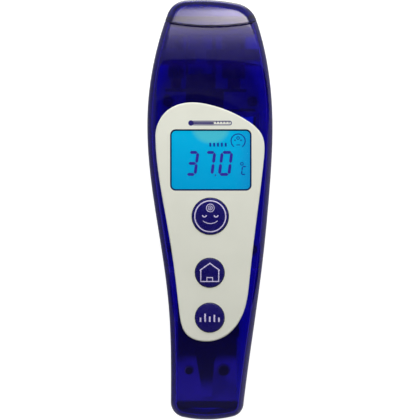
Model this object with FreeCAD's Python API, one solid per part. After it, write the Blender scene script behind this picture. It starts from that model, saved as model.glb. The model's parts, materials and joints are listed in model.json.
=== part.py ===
"""Handheld infrared thermometer with a removable end cap, lying on its back.

Millimetres. X is to the right, Y runs from the handle's end to the head, +Z is the display side.
The origin is under the middle of the body, on the surface that the back rests on.
"""
import FreeCAD, Part
import math
import os
from FreeCAD import Vector

# Tools that cut right through the body run from one side of this box to the other.
ACROSS = (-40.0, 40.0)
ALONG = (-90.0, 90.0)
BELOW_Z = -5.0
ABOVE_Z = 45.0
NEAR = 0.001              # places closer than this are the same

# ---- body ---------------------------------------------------------------------------------
FRONT_Z = 33.6            # flat front of the casing
PARTING_Z = 13.0          # plane between the front and the back shells
PARTING_GAP = 0.15
WALL = 2.0
HEAD_START_Y = 50.0       # where the front starts to slope down to the head's end
HEAD_FRONT_RADIUS = 47.0
TAIL_START_Y = -42.0      # where the front starts to fall to the handle's end
TAIL_RADIUS = 230.0
BACK_HEAD_Y = 48.0        # where the flat back starts to rise to the head's end
BACK_HEAD_RADIUS = 60.0
BACK_KNEE_Y = -20.0       # where the flat back turns into the handle's slope
BACK_KNEE_RADIUS = 60.0
HANDLE_SLOPE = math.atan(7.0 / 52.0)
PROFILE_END_Y = 79.0      # the side profile runs past both ends of the body
PROFILE_TAIL_Y = -80.0
FRONT_EDGE_RADIUS = 2.4   # beside the panel
HEAD_EDGE_RADIUS = 4.0
HEAD_TIP_RADIUS = 5.4     # over the head's end
TAIL_EDGE_RADIUS = 4.6
END_ZONE_Y = 62.0         # past this, both ways, the front's edge has its end radius
HEAD_TIP_Y = 73.0         # past this, it has the tip's
BACK_EDGE_RADIUS = 3.8
LEAST_EDGE_RADIUS = 0.4
LEAST_CORNER_RADIUS = 0.9

# Plan outline: a curve down each side, an arc over each end, and four rounded corners.
LEFT_SIDE = [(-13.05, 79.0), (-19.0, 61.5), (-22.6, 42.0), (-22.7, 20.0),
             (-18.0, -14.0), (-15.1, -37.3), (-14.4, -60.0), (-14.5, -80.0)]
RIGHT_SIDE = [(11.5, -80.0), (14.1, -58.0), (18.7, -25.0), (22.1, 9.0),
              (22.95, 36.0), (20.5, 57.0), (13.65, 79.0)]
HEAD_END = [(-20.0, 75.4), (-3.4, 77.5), (20.0, 73.2)]
TAIL_END = [(-20.0, -72.95), (-1.2, -77.5), (18.0, -72.75)]
CORNER_RADII = {"head_left": 7.8, "head_right": 9.2, "tail_left": 5.7, "tail_right": 5.2}

# Shallow crescent-shaped scoop across the front, between the brow and the rim above the panel.
SCOOP_CENTRE = Vector(-7.0, 10.0, 0)
SCOOP_RADIUS = 42.0       # circle that the scoop is deepest along
SCOOP_HALF_WIDTH = 9.5
SCOOP_DEPTH = 0.35

# ---- covers --------------------------------------------------------------------------------
BOSS_ROOT = 0.3           # how far a boss runs into the wall behind it
SOUND_CENTRE = (0.0, 20.0)
SOUND_PITCH = 2.6
SOUND_HOLES = 6           # round the middle one
SOUND_HOLE_RADIUS = 0.6
TAB_X = (-11.0, 5.0)      # left sides of the battery cover's two tabs
TAB_WIDTH = 5.0
TAB_ROOT = 6.0
TAB_REACH = 3.6
TAB_Z = (2.15, 3.6)
GRIP_START_Y = -34.0
GRIP_PITCH = 1.8
GRIP_COUNT = 6
GRIP_RADIUS = 0.55
GRIP_OFFSET = 0.1         # the grooves' centre lines, inside the back
GRIP_HALF_LENGTH = 6.5

# ---- cap ----------------------------------------------------------------------------------
SEAM_CENTRE = Vector(0.4, 150.8, 0)
SEAM_RADIUS = 83.0
SEAM_GAP = 0.35
CAP_WALL = 2.6
CAP_SKIRT_START_Y = 66.8
CAP_SKIRT_END_Y = 70.8
CAP_SKIRT_SECTION_Y = 69.8    # the straight skirt has the section that the casing's mouth has here
CAP_SKIRT_OUTSIDE = 2.15      # measured in from the casing's outside
CAP_SKIRT_INSIDE = 3.2
SEAL_OUTSIDE = 0.3        # the seal's section, measured in from the casing's outside
SEAL_INSIDE = 1.6
SEAL_SET_IN = 0.3         # into the casing's mouth
SEAL_PROUD = 0.2
SEAL_FIT = 0.05
SEAL_HALF_WIDTH = 17.0    # of the body at the seam

# ---- front panel, window and keys ----------------------------------------------------------
PANEL_OUTLINE = [(-20.1, 26.8), (-19.6, 18.3), (-16.35, -2.4), (-12.65, -26.1), (-11.3, -37.9),
                 (-8.55, -46.1), (-1.85, -48.6), (6.4, -46.1), (12.3, -37.9), (14.5, -26.1),
                 (17.3, -2.4), (19.8, 18.3), (19.2, 27.2), (13.05, 33.1), (0.0, 38.5),
                 (-6.7, 39.4), (-16.1, 36.1)]
PANEL_BOTTOM_Z = 32.7
PANEL_TOP_Z = 34.0
PANEL_CLEARANCE = 0.12
PANEL_EDGE_RADIUS = 0.45
WINDOW_CENTRE = (0.3, 18.2)
WINDOW_SIZE = (30.0, 22.6)
WINDOW_CORNER = 2.1
WINDOW_FLANGE = 0.7
WINDOW_FIT = 0.1
WINDOW_TOP_Z = 33.6
CEILING_Z = FRONT_Z - WALL

KEYS = {"measure": ((0.1, -2.5), 6.7), "home": ((-0.1, -23.3), 5.35), "memory": ((-0.1, -39.8), 5.35)}
KEY_CLEARANCE = 0.2
KEY_FLANGE = 0.75
KEY_FLANGE_TOP_Z = CEILING_Z - 0.05
KEY_FLANGE_THICKNESS = 0.9
KEY_RIM_Z = 34.35
KEY_CROWN = 0.45
KEY_STEM_RADIUS = 2.2
KEY_EDGE_RADIUS = 0.35
DOME_RADIUS = 4.6
DOME_TOP_RADIUS = 2.6
DOME_TOP_Z = 28.4
DOME_WALL = 0.7
DOME_ROOF = 0.8

# ---- electronics ---------------------------------------------------------------------------
BOARD_HEAD_Y = 37.0
BOARD_OUTLINE = [(-16.0, BOARD_HEAD_Y), (16.5, BOARD_HEAD_Y), (16.5, 3.0), (10.8, -5.0), (10.8, -47.0),
                 (4.2, -51.0), (1.6, -56.0), (0.6, -69.0), (-2.6, -69.0), (-5.2, -54.0), (-10.6, -47.0),
                 (-9.8, -5.0), (-16.0, 3.0)]
BOARD_BOTTOM_Z = 23.0
BOARD_TOP_Z = 24.6
MAT_CENTRE = (0.0, -21.4)
MAT_SIZE = (13.0, 48.0)
MAT_CORNER = 2.0
MAT_THICKNESS = 0.8
LCD_X = (-16.2, 16.8)
LCD_Y = (5.9, 34.0)
LCD_GLASS = 1.1
LCD_TOP_Z = 31.2
LCD_LEDGE_Y = 30.5
FRAME_WALL = 0.5
FRAME_SIDE = 1.3
FRAME_HEAD_Y = 36.0
FRAME_TOP_Z = 31.0
GUIDE_X = (-15.3, 14.2)   # light guide behind the display, and the pocket it lies in
GUIDE_Y = (6.9, 30.0)
GUIDE_BOTTOM_Z = 25.6
POCKET_X = (-15.5, 16.1)
POCKET_Y = (6.7, 30.2)
LED_X = (14.3, 15.8)
LED_Y = (9.0, 16.6, 24.2)
LED_LENGTH = 3.2
LED_TOP_Z = 28.4
STRIP_X = (-14.1, 14.7)   # rubber contact strip between the display and the board
STRIP_Y = (31.1, 33.5)
STRIP_GAP = 0.1
PROCESSOR = ((-6.0, 4.0), (-13.0, -3.0), 1.4)
MEMORY_CHIP = ((-13.0, -7.0), (6.0, 11.0), 1.2)
CAPACITORS = [(11.5, 12.0), (-11.5, 28.0)]
CAPACITOR_RADIUS = 2.5
CAPACITOR_HEIGHT = 5.0
RESISTOR_COUNT = 5
RESISTOR_START_X = -5.0
RESISTOR_PITCH = 2.4
RESISTOR_WIDTH = 0.8
RESISTOR_Y = (-18.0, -16.4)
RESISTOR_HEIGHT = 0.5
BUZZER_BOTTOM_Z = 18.0
BUZZER_RADIUS = 6.0
BUZZER_HOLE_RADIUS = 1.0
BUZZER_HOLE_DEPTH = 0.8

# ---- battery bay ---------------------------------------------------------------------------
CELL_RADIUS = 5.25
CELL_BODY = 43.5
CELL_NIPPLE = 1.0
CELL_NIPPLE_RADIUS = 1.9
CELL_EDGE_RADIUS = 0.5
CELL_Z = 14.4
CELL_LEFT_X = -6.4
CELL_RIGHT_X = 4.2
CELL_TAIL_Y = -67.0
CELL_GAP = 0.1
DOOR_Y = -22.0
DOOR_GAP = 0.3
HOLDER_X = (-12.0, 9.9)
HOLDER_Y = (-70.6, -19.2)
HOLDER_TOP_Z = 21.0
HOLDER_END = 1.0          # thickness of the end walls
TAIL_WALL_BOTTOM_Z = 9.8
HEAD_WALL_BOTTOM_Z = 5.0
HOLDER_POSTS = [((-7.9, -59.2), 1.5), ((4.9, -59.2), 2.0)]    # posts that keep the tray down
PAD_Y = (-73.1, -70.75)
PAD_Z = (13.3, 28.0)
PAD_GAP = 0.15
SPRING_WIRE = 0.3
SPRING_WIDE = 3.4
SPRING_NARROW = 1.8
SPRING_TURNS = 2.5
CONTACT_HALF = 3.6
CONTACT_THICKNESS = 0.3

# ---- fasteners -----------------------------------------------------------------------------
CASE_SCREWS = [(-15.5, 39.8), (15.5, 39.8), (-13.2, -14.5), (15.25, -14.5)]
CASE_BOSS_RADIUS = 2.5    # in the front cover
REAR_BOSS_RADIUS = 3.0
CASE_BOSS_FOOT_Z = 1.2    # inside the back wall
CASE_SCREW_SEAT_Z = 8.0
CASE_SCREW_RADIUS = 1.0
CASE_SCREW_TOP_Z = 21.0
CASE_PILOT_TOP_Z = 21.5
CASE_HEAD_RADIUS = 1.9
CASE_HEAD_HEIGHT = 1.4
SCREW_GAP = 0.2
CROSS_WIDTH = 0.5
CROSS_LENGTH = 2.2
CROSS_DEPTH = 0.7
SMALL_BOSS_RADIUS = 1.7
BOARD_SCREWS = [(-8.8, -44.6), (9.0, -44.6)]
BOARD_SCREW_RADIUS = 0.8
BOARD_SCREW_TOP_Z = 29.0
BOARD_PILOT_TOP_Z = 29.5
BOARD_HEAD_RADIUS = 1.7
BOARD_HEAD_HEIGHT = 1.1
BOARD_HOLE_RADIUS = 1.1
HOLDER_SCREW = (-1.1, -31.5)
HOLDER_SEAT_Z = 19.6
HOLDER_SCREW_RADIUS = 0.9
HOLDER_SCREW_TOP_Z = 27.5
HOLDER_PILOT_TOP_Z = 28.0
HOLDER_HEAD_RADIUS = 1.6
HOLDER_HEAD_HEIGHT = 1.0
HOLDER_HEAD_HOLE_RADIUS = 1.9
HOLDER_HOLE_RADIUS = 1.1
HOLDER_BOSS_HOLE_RADIUS = 2.0    # in the board and the mat, round the front cover's boss

# ---- optics, all along Y at one height ------------------------------------------------------
OPTICS_Z = 16.5
OPTICS_FIT = 0.05
MIRROR_X = -3.4
LEFT_TUBE_X = -12.6
RIGHT_TUBE_X = 8.8
LEFT_TUBE_RADIUS = 2.9
RIGHT_TUBE_RADIUS = 4.4
MIRROR_RADIUS = 5.8
MIRROR_Y = (50.0, 66.4)
MIRROR_THROAT_RADIUS = 2.6
MIRROR_MOUTH_RADIUS = 5.0
MIRROR_OVERRUN = 0.1
CARRIER_Y = (55.0, 59.0)
CARRIER_Z = (6.0, 27.0)
CARRIER_OPENING = 6.1     # half the width of its cut-away over the mirror tube
BEZEL_Y = (64.2, 66.4)
WALL_GAP = 0.25           # between the walls and the plates that fit inside them
SENSOR_BOARD_X = (-16.4, 13.4)
SENSOR_BOARD_Y = (43.2, 44.4)
SENSOR_BOARD_Z = (8.0, 26.0)
SENSOR_HALF = 5.4         # of the sensor block
SENSOR_BORE_RADIUS = 4.2
SENSOR_SEAT_Y = 49.2
CAN_BASE_Y = (45.0, 45.6)
CAN_BASE_RADIUS = 4.15
CAN_RADIUS = 3.9
CAN_WINDOW_Y = (48.6, 49.1)
CAN_WINDOW_RADIUS = 2.0
LINK_X = (-9.0, 5.0)
TUBE_Y = (48.4, 66.0)
TUBE_WALL = 0.8
LENS_Y = (62.0, 64.4)
LENS_CURVE = 1.6          # the lens's front radius over the barrel's radius
LAMP_NOSE_Y = 50.5
LAMP_RADIUS = 2.4         # unless the barrel is too narrow
LAMP_GAP = 0.9
MASK_Y = (56.0, 56.5)
MASK_PITCH = 1.7
MASK_HALF_WIDTH = 0.55
MASK_HALF_HEIGHT = 1.3


# ---- small helpers -------------------------------------------------------------------------
def block(x, y, z):
    """A box from three (low, high) pairs."""
    return Part.makeBox(x[1] - x[0], y[1] - y[0], z[1] - z[0], Vector(x[0], y[0], z[0]))


def disc(place, z_low, z_high, radius):
    return Part.makeCylinder(radius, z_high - z_low, Vector(place[0], place[1], z_low))


def rod_y(x, z, y_low, y_high, radius):
    return Part.makeCylinder(radius, y_high - y_low, Vector(x, y_low, z), Vector(0, 1, 0))


def cone_y(x, z, y_low, y_high, radius_low, radius_high):
    return Part.makeCone(radius_low, radius_high, y_high - y_low, Vector(x, y_low, z), Vector(0, 1, 0))


def plate(points, z_low, z_high):
    """A flat plate with a straight-sided outline."""
    corners = [Vector(x, y, z_low) for x, y in points]
    wire = Part.makePolygon(corners + corners[:1])
    return Part.Face(wire).extrude(Vector(0, 0, z_high - z_low))


def rounded_plate(centre, size, radius, z_low, z_high):
    x = (centre[0] - size[0] / 2, centre[0] + size[0] / 2)
    y = (centre[1] - size[1] / 2, centre[1] + size[1] / 2)
    solid = block(x, y, (z_low, z_high))
    uprights = [edge for edge in solid.Edges if abs(edge.tangentAt(edge.FirstParameter).z) > 1 - NEAR]
    return solid.makeFillet(radius, uprights)


def joined(shapes):
    """One solid from several that meet."""
    return shapes[0].fuse(shapes[1:]).removeSplitter()


# ---- the body's form -----------------------------------------------------------------------
def spline(points, inset=0.0, closed=False):
    """A smooth curve through the points, moved towards the middle of the body by the inset."""
    curve = Part.BSplineCurve()
    curve.interpolate(Points=[Vector(x, y, 0) for x, y in points], PeriodicFlag=closed)
    if not inset:
        return curve
    moved = []
    for x, y in points:
        place = Vector(x, y, 0)
        along = curve.tangent(curve.parameter(place))[0]
        across = Vector(-along.y, along.x, 0)
        if across.dot(place) > 0:
            across = -across
        moved.append(place + across * inset)
    inner = Part.BSplineCurve()
    inner.interpolate(Points=moved, PeriodicFlag=closed)
    return inner


def end_arc(points, inset):
    """The arc over one end of the plan outline, made smaller about its own centre."""
    places = [Vector(x, y, 0) for x, y in points]
    circle = Part.Circle(*places)
    radius = circle.Radius - inset
    return Part.Arc(*[circle.Center + (place - circle.Center).normalize() * radius for place in places])


def meeting_point(one, other):
    return one.toShape().distToShape(other.toShape())[1][0][0]


def stretch(curve, start, end):
    low, high = sorted((curve.parameter(start), curve.parameter(end)))
    return curve.toShape(low, high)


def plan_prism(inset):
    """The plan outline as an upright prism taller than the body."""
    left, right = spline(LEFT_SIDE, inset), spline(RIGHT_SIDE, inset)
    head, tail = end_arc(HEAD_END, inset), end_arc(TAIL_END, inset)
    corners = {"head_left": meeting_point(left, head), "head_right": meeting_point(right, head),
               "tail_left": meeting_point(left, tail), "tail_right": meeting_point(right, tail)}
    edges = [stretch(left, corners["head_left"], corners["tail_left"]),
             stretch(tail, corners["tail_left"], corners["tail_right"]),
             stretch(right, corners["tail_right"], corners["head_right"]),
             stretch(head, corners["head_right"], corners["head_left"])]
    wire = Part.Wire(Part.__sortEdges__(edges))
    wire.translate(Vector(0, 0, BELOW_Z))
    solid = Part.Face(wire).extrude(Vector(0, 0, ABOVE_Z - BELOW_Z))
    for name, place in corners.items():
        radius = max(CORNER_RADII[name] - inset, LEAST_CORNER_RADIUS)
        upright = [edge for edge in solid.Edges
                   if edge.Length > FRONT_Z and math.hypot(edge.CenterOfMass.x - place.x,
                                                           edge.CenterOfMass.y - place.y) < NEAR]
        solid = solid.makeFillet(radius, upright[:1])
    return solid


def profile_arc(centre_y, centre_z, radius, start, end):
    """An arc of the side profile, its angles measured from straight down towards the head."""
    places = []
    for angle in (start, (start + end) / 2, end):
        places.append(Vector(0, centre_y + radius * math.sin(angle), centre_z - radius * math.cos(angle)))
    return Part.Arc(*places)


def profile_prism(inset):
    """The side profile as a prism wider than the body."""
    reach = math.asin((PROFILE_END_Y - HEAD_START_Y) / HEAD_FRONT_RADIUS)
    head = profile_arc(HEAD_START_Y, FRONT_Z - HEAD_FRONT_RADIUS, HEAD_FRONT_RADIUS - inset,
                       math.pi, math.pi - reach)
    drop = math.asin((TAIL_START_Y - PROFILE_TAIL_Y) / TAIL_RADIUS)
    tail = profile_arc(TAIL_START_Y, FRONT_Z - TAIL_RADIUS, TAIL_RADIUS - inset, math.pi + drop, math.pi)
    rise = math.asin((PROFILE_END_Y - BACK_HEAD_Y) / BACK_HEAD_RADIUS)
    back_head = profile_arc(BACK_HEAD_Y, BACK_HEAD_RADIUS, BACK_HEAD_RADIUS - inset, rise, 0)
    knee = profile_arc(BACK_KNEE_Y, BACK_KNEE_RADIUS, BACK_KNEE_RADIUS - inset, 0, -HANDLE_SLOPE)
    run = (knee.EndPoint.y - PROFILE_TAIL_Y) / math.cos(HANDLE_SLOPE)
    slope_end = knee.EndPoint + Vector(0, -math.cos(HANDLE_SLOPE), math.sin(HANDLE_SLOPE)) * run
    curves = [tail, head, back_head, knee]
    links = [(tail.EndPoint, head.StartPoint), (head.EndPoint, back_head.StartPoint),
             (back_head.EndPoint, knee.StartPoint), (knee.EndPoint, slope_end), (slope_end, tail.StartPoint)]
    edges = [curve.toShape() for curve in curves] + [Part.makeLine(a, b) for a, b in links]
    wire = Part.Wire(Part.__sortEdges__(edges))
    wire.translate(Vector(ACROSS[0], 0, 0))
    return Part.Face(wire).extrude(Vector(ACROSS[1] - ACROSS[0], 0, 0))


def rim_edges(solid, front):
    """The edges between the upright walls and the front, or the back."""
    found = []
    for edge in solid.Edges:
        upright = 0
        faces = solid.ancestorsOfType(edge, Part.Face)
        for face in faces:
            u_low, u_high, v_low, v_high = face.ParameterRange
            normal = face.normalAt((u_low + u_high) / 2, (v_low + v_high) / 2)
            upright += abs(normal.z) < NEAR
        if upright == 1 and len(faces) == 2 and (edge.CenterOfMass.z > PARTING_Z) == front:
            found.append(edge)
    return found


def front_edge_radius(place):
    if place.y > HEAD_TIP_Y:
        return HEAD_TIP_RADIUS
    if place.y > END_ZONE_Y:
        return HEAD_EDGE_RADIUS
    if place.y < -END_ZONE_Y:
        return TAIL_EDGE_RADIUS
    return FRONT_EDGE_RADIUS


def round_front(solid):
    """Round the front's edge by a radius that changes along it."""
    document = FreeCAD.newDocument()
    base = document.addObject("Part::Feature")
    base.Shape = solid
    fillet = document.addObject("Part::Fillet")
    fillet.Base = base
    rim = rim_edges(solid, True)
    settings = []
    for number, edge in enumerate(solid.Edges, 1):
        if any(edge.isSame(one) for one in rim):
            settings.append((number, front_edge_radius(edge.valueAt(edge.FirstParameter)),
                             front_edge_radius(edge.valueAt(edge.LastParameter))))
    fillet.Edges = settings
    document.recompute()
    return fillet.Shape.Solids[0]


def body_form(inset=0.0):
    """The whole body, cap included, made smaller all round by the inset."""
    solid = plan_prism(inset).common(profile_prism(inset)).Solids[0]
    solid = solid.makeFillet(max(BACK_EDGE_RADIUS - inset, LEAST_EDGE_RADIUS), rim_edges(solid, False))
    if not inset:
        return round_front(solid)
    return solid.makeFillet(max(FRONT_EDGE_RADIUS - inset, LEAST_EDGE_RADIUS), rim_edges(solid, True))


def scoop():
    """The tool that cuts the crescent-shaped scoop: a shallow arc turned round its centre."""
    section = ((-SCOOP_HALF_WIDTH, 0), (0, SCOOP_DEPTH), (SCOOP_HALF_WIDTH, 0))
    start, lowest, end = (SCOOP_CENTRE + Vector(SCOOP_RADIUS + offset, 0, FRONT_Z - depth)
                          for offset, depth in section)
    rise = Vector(0, 0, ABOVE_Z - FRONT_Z)
    edges = [Part.Arc(start, lowest, end).toShape(), Part.makeLine(end, end + rise),
             Part.makeLine(end + rise, start + rise), Part.makeLine(start + rise, start)]
    return Part.Face(Part.Wire(edges)).revolve(SCOOP_CENTRE, Vector(0, 0, 1), 360)


def seam_side(grow):
    """Everything on the cap's side of the seam."""
    return disc(SEAM_CENTRE, BELOW_Z, ABOVE_Z, SEAM_RADIUS + grow)


OUTER = body_form()
INNER = body_form(WALL)


def slab(y_low, y_high, inset):
    """A slice across the body, that clears the walls."""
    return body_form(inset).common(block(ACROSS, (y_low, y_high), (BELOW_Z, ABOVE_Z)))


def seal_space(extra):
    """The space of the seal round the casing's mouth, larger all round by the extra."""
    centre = Vector(SEAM_CENTRE.x, SEAM_CENTRE.y - SEAM_RADIUS, OPTICS_Z)
    outside = OUTER.scaled(1 - (SEAL_OUTSIDE - extra) / SEAL_HALF_WIDTH, centre)
    band = seam_side(SEAM_GAP / 2 + SEAL_SET_IN + extra).cut(seam_side(SEAM_GAP / 2 - SEAL_PROUD - extra))
    return outside.common(band).cut(body_form(SEAL_INSIDE + extra))


# ---- casing --------------------------------------------------------------------------------
def panel_tool(inset, z_low, z_high):
    wire = Part.Wire([spline(PANEL_OUTLINE, inset, closed=True).toShape()])
    wire.translate(Vector(0, 0, z_low))
    return Part.Face(wire).extrude(Vector(0, 0, z_high - z_low))


def window_flange_size(extra):
    return (WINDOW_SIZE[0] + 2 * (WINDOW_FLANGE + extra), WINDOW_SIZE[1] + 2 * (WINDOW_FLANGE + extra))


def casing():
    """Both casing shells and the battery door as one hollow piece, open at the head."""
    shell = OUTER.cut(INNER)
    return shell.cut(seam_side(SEAM_GAP / 2)).cut(seal_space(SEAL_FIT))


CASING = casing()


def front_bosses():
    """The bosses inside the front cover, and the two posts over the battery tray."""
    root_z = CEILING_Z + BOSS_ROOT
    bosses = [disc(place, PARTING_Z + PARTING_GAP / 2, root_z, CASE_BOSS_RADIUS) for place in CASE_SCREWS]
    bosses += [disc(place, BOARD_TOP_Z, root_z, SMALL_BOSS_RADIUS) for place in BOARD_SCREWS]
    bosses += [disc(place, HOLDER_TOP_Z, CEILING_Z, radius) for place, radius in HOLDER_POSTS]
    return bosses + [disc(HOLDER_SCREW, HOLDER_TOP_Z, root_z, SMALL_BOSS_RADIUS)]


def front_cover():
    solid = CASING.common(block(ACROSS, ALONG, (PARTING_Z + PARTING_GAP / 2, ABOVE_Z)))
    solid = solid.cut(scoop())
    solid = solid.cut(panel_tool(-PANEL_CLEARANCE, PANEL_BOTTOM_Z, ABOVE_Z))
    solid = solid.cut(rounded_plate(WINDOW_CENTRE, window_flange_size(WINDOW_FIT),
                                    WINDOW_CORNER + WINDOW_FLANGE, CEILING_Z - WALL, ABOVE_Z))
    for place, radius in KEYS.values():
        solid = solid.cut(disc(place, CEILING_Z - WALL, ABOVE_Z, radius + KEY_CLEARANCE))
    solid = joined([solid] + front_bosses())
    for place in CASE_SCREWS:
        solid = solid.cut(disc(place, BELOW_Z, CASE_PILOT_TOP_Z, CASE_SCREW_RADIUS))
    for place in BOARD_SCREWS:
        solid = solid.cut(disc(place, BELOW_Z, BOARD_PILOT_TOP_Z, BOARD_SCREW_RADIUS))
    return solid.cut(disc(HOLDER_SCREW, BELOW_Z, HOLDER_PILOT_TOP_Z, HOLDER_SCREW_RADIUS))


def rear_cover():
    top_z = PARTING_Z - PARTING_GAP / 2
    solid = CASING.common(block(ACROSS, (DOOR_Y + DOOR_GAP / 2, ALONG[1]), (BELOW_Z, top_z)))
    bosses = [disc(place, CASE_BOSS_FOOT_Z, top_z, REAR_BOSS_RADIUS) for place in CASE_SCREWS]
    solid = joined([solid] + bosses)
    for place in CASE_SCREWS:
        solid = solid.cut(disc(place, BELOW_Z, CASE_SCREW_SEAT_Z, CASE_HEAD_RADIUS + SCREW_GAP))
        solid = solid.cut(disc(place, BELOW_Z, top_z + WALL, CASE_SCREW_RADIUS + SCREW_GAP))
    sound_holes = [SOUND_CENTRE]
    for number in range(SOUND_HOLES):
        turn = 2 * math.pi * number / SOUND_HOLES
        sound_holes.append((SOUND_CENTRE[0] + SOUND_PITCH * math.cos(turn),
                            SOUND_CENTRE[1] + SOUND_PITCH * math.sin(turn)))
    for place in sound_holes:
        solid = solid.cut(disc(place, BELOW_Z, 2 * WALL, SOUND_HOLE_RADIUS))
    return solid


def back_height(y):
    """The height of the handle's sloping back at a place along it."""
    knee_y = BACK_KNEE_Y - BACK_KNEE_RADIUS * math.sin(HANDLE_SLOPE)
    knee_z = BACK_KNEE_RADIUS * (1 - math.cos(HANDLE_SLOPE))
    return knee_z + (knee_y - y) * math.tan(HANDLE_SLOPE)


def battery_cover():
    top_z = PARTING_Z - PARTING_GAP / 2
    solid = CASING.common(block(ACROSS, (ALONG[0], DOOR_Y - DOOR_GAP / 2), (BELOW_Z, top_z)))
    tabs = [block((x, x + TAB_WIDTH), (DOOR_Y - TAB_ROOT, DOOR_Y + TAB_REACH), TAB_Z) for x in TAB_X]
    solid = joined([solid] + tabs)
    for number in range(GRIP_COUNT):
        y = GRIP_START_Y - GRIP_PITCH * number
        start = Vector(-GRIP_HALF_LENGTH, y, back_height(y) - GRIP_OFFSET)
        solid = solid.cut(Part.makeCylinder(GRIP_RADIUS, 2 * GRIP_HALF_LENGTH, start, Vector(1, 0, 0)))
    return solid


def cap_plug(inset):
    """A straight plug along Y, with the body's section at the mouth, made smaller by the inset."""
    section = body_form(inset).slice(Vector(0, 1, 0), CAP_SKIRT_SECTION_Y)[0]
    section.translate(Vector(0, CAP_SKIRT_START_Y - CAP_SKIRT_SECTION_Y, 0))
    return Part.Face(section).extrude(Vector(0, CAP_SKIRT_END_Y - CAP_SKIRT_START_Y, 0))


def protective_cap():
    skin = OUTER.cut(body_form(CAP_WALL)).common(seam_side(-SEAM_GAP / 2))
    skirt = cap_plug(CAP_SKIRT_OUTSIDE).cut(cap_plug(CAP_SKIRT_INSIDE))
    return joined([skin, skirt])


def cap_seal():
    """The dark ring set in the casing's mouth, that the cap closes on."""
    return seal_space(0)


def face_panel():
    solid = panel_tool(0, PANEL_BOTTOM_Z, PANEL_TOP_Z)
    rim = [edge for edge in solid.Edges if edge.CenterOfMass.z > PANEL_TOP_Z - NEAR]
    solid = solid.makeFillet(PANEL_EDGE_RADIUS, rim)
    solid = solid.cut(rounded_plate(WINDOW_CENTRE, WINDOW_SIZE, WINDOW_CORNER, BELOW_Z, ABOVE_Z))
    for place, radius in KEYS.values():
        solid = solid.cut(disc(place, BELOW_Z, ABOVE_Z, radius + KEY_CLEARANCE))
    return solid


def display_window():
    size = (WINDOW_SIZE[0] - 2 * WINDOW_FIT, WINDOW_SIZE[1] - 2 * WINDOW_FIT)
    bottom_z = CEILING_Z + WINDOW_FIT
    face = rounded_plate(WINDOW_CENTRE, size, WINDOW_CORNER - WINDOW_FIT, bottom_z, WINDOW_TOP_Z)
    flange = rounded_plate(WINDOW_CENTRE, window_flange_size(0), WINDOW_CORNER + WINDOW_FLANGE - WINDOW_FIT,
                           bottom_z, PANEL_BOTTOM_Z)
    return joined([face, flange])


# ---- keys ----------------------------------------------------------------------------------
def key(name):
    """A key cap with a slightly crowned top, a flange that holds it in, and a stem to its dome."""
    place, radius = KEYS[name]
    sphere_radius = (radius ** 2 + KEY_CROWN ** 2) / (2 * KEY_CROWN)
    crown_z = KEY_RIM_Z + KEY_CROWN
    ball = Part.makeSphere(sphere_radius, Vector(place[0], place[1], crown_z - sphere_radius))
    flange_z = KEY_FLANGE_TOP_Z - KEY_FLANGE_THICKNESS
    cap = disc(place, flange_z, ABOVE_Z, radius).common(ball)
    top = [edge for edge in cap.Edges if abs(edge.CenterOfMass.z - KEY_RIM_Z) < NEAR and edge.Length > radius]
    cap = cap.makeFillet(KEY_EDGE_RADIUS, top)
    flange = disc(place, flange_z, KEY_FLANGE_TOP_Z, radius + KEY_FLANGE)
    stem = disc(place, DOME_TOP_Z, KEY_FLANGE_TOP_Z, KEY_STEM_RADIUS)
    return joined([cap, flange, stem])


def dome(name):
    """The silicone dome under a key: a thin-walled cone that stands on the mat."""
    base_z = BOARD_TOP_Z + MAT_THICKNESS
    base = Vector(*KEYS[name][0], base_z)
    height = DOME_TOP_Z - base_z
    outside = Part.makeCone(DOME_RADIUS, DOME_TOP_RADIUS, height, base)
    inside = Part.makeCone(DOME_RADIUS - DOME_WALL, DOME_TOP_RADIUS - DOME_WALL, height - DOME_ROOF, base)
    return outside.cut(inside)


def keypad_mat():
    solid = rounded_plate(MAT_CENTRE, MAT_SIZE, MAT_CORNER, BOARD_TOP_Z, BOARD_TOP_Z + MAT_THICKNESS)
    for place, _ in KEYS.values():
        solid = solid.cut(disc(place, BELOW_Z, ABOVE_Z, DOME_RADIUS - DOME_WALL))
    return solid.cut(disc(HOLDER_SCREW, BELOW_Z, ABOVE_Z, HOLDER_BOSS_HOLE_RADIUS))


# ---- display and board ---------------------------------------------------------------------
def lcd_cell():
    top = block(LCD_X, LCD_Y, (LCD_TOP_Z - LCD_GLASS, LCD_TOP_Z))
    bottom = block(LCD_X, (LCD_Y[0], LCD_LEDGE_Y), (LCD_TOP_Z - 2 * LCD_GLASS, LCD_TOP_Z - LCD_GLASS))
    return joined([top, bottom])


def lcd_frame():
    """The frame round the display, with a pocket for the light guide and a slot for the contact strip."""
    solid = block((LCD_X[0] - FRAME_SIDE, LCD_X[1] + FRAME_SIDE), (LCD_Y[0] - FRAME_WALL, FRAME_HEAD_Y),
                  (BOARD_TOP_Z, FRAME_TOP_Z))
    solid = solid.cut(block(LCD_X, LCD_Y, (LCD_TOP_Z - 2 * LCD_GLASS, ABOVE_Z)))
    solid = solid.cut(block(POCKET_X, POCKET_Y, (GUIDE_BOTTOM_Z, ABOVE_Z)))
    return solid.cut(block((STRIP_X[0] - STRIP_GAP, STRIP_X[1] + STRIP_GAP),
                           (STRIP_Y[0] - STRIP_GAP, STRIP_Y[1] + STRIP_GAP), (BELOW_Z, ABOVE_Z)))


def backlight_panel():
    return block(GUIDE_X, GUIDE_Y, (GUIDE_BOTTOM_Z, LCD_TOP_Z - 2 * LCD_GLASS))


def backlight_leds():
    """Three side-firing LEDs along the right edge of the light guide."""
    return Part.makeCompound([block(LED_X, (y, y + LED_LENGTH), (GUIDE_BOTTOM_Z, LED_TOP_Z)) for y in LED_Y])


def zebra_strip():
    return block(STRIP_X, STRIP_Y, (BOARD_TOP_Z, LCD_TOP_Z - LCD_GLASS))


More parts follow.
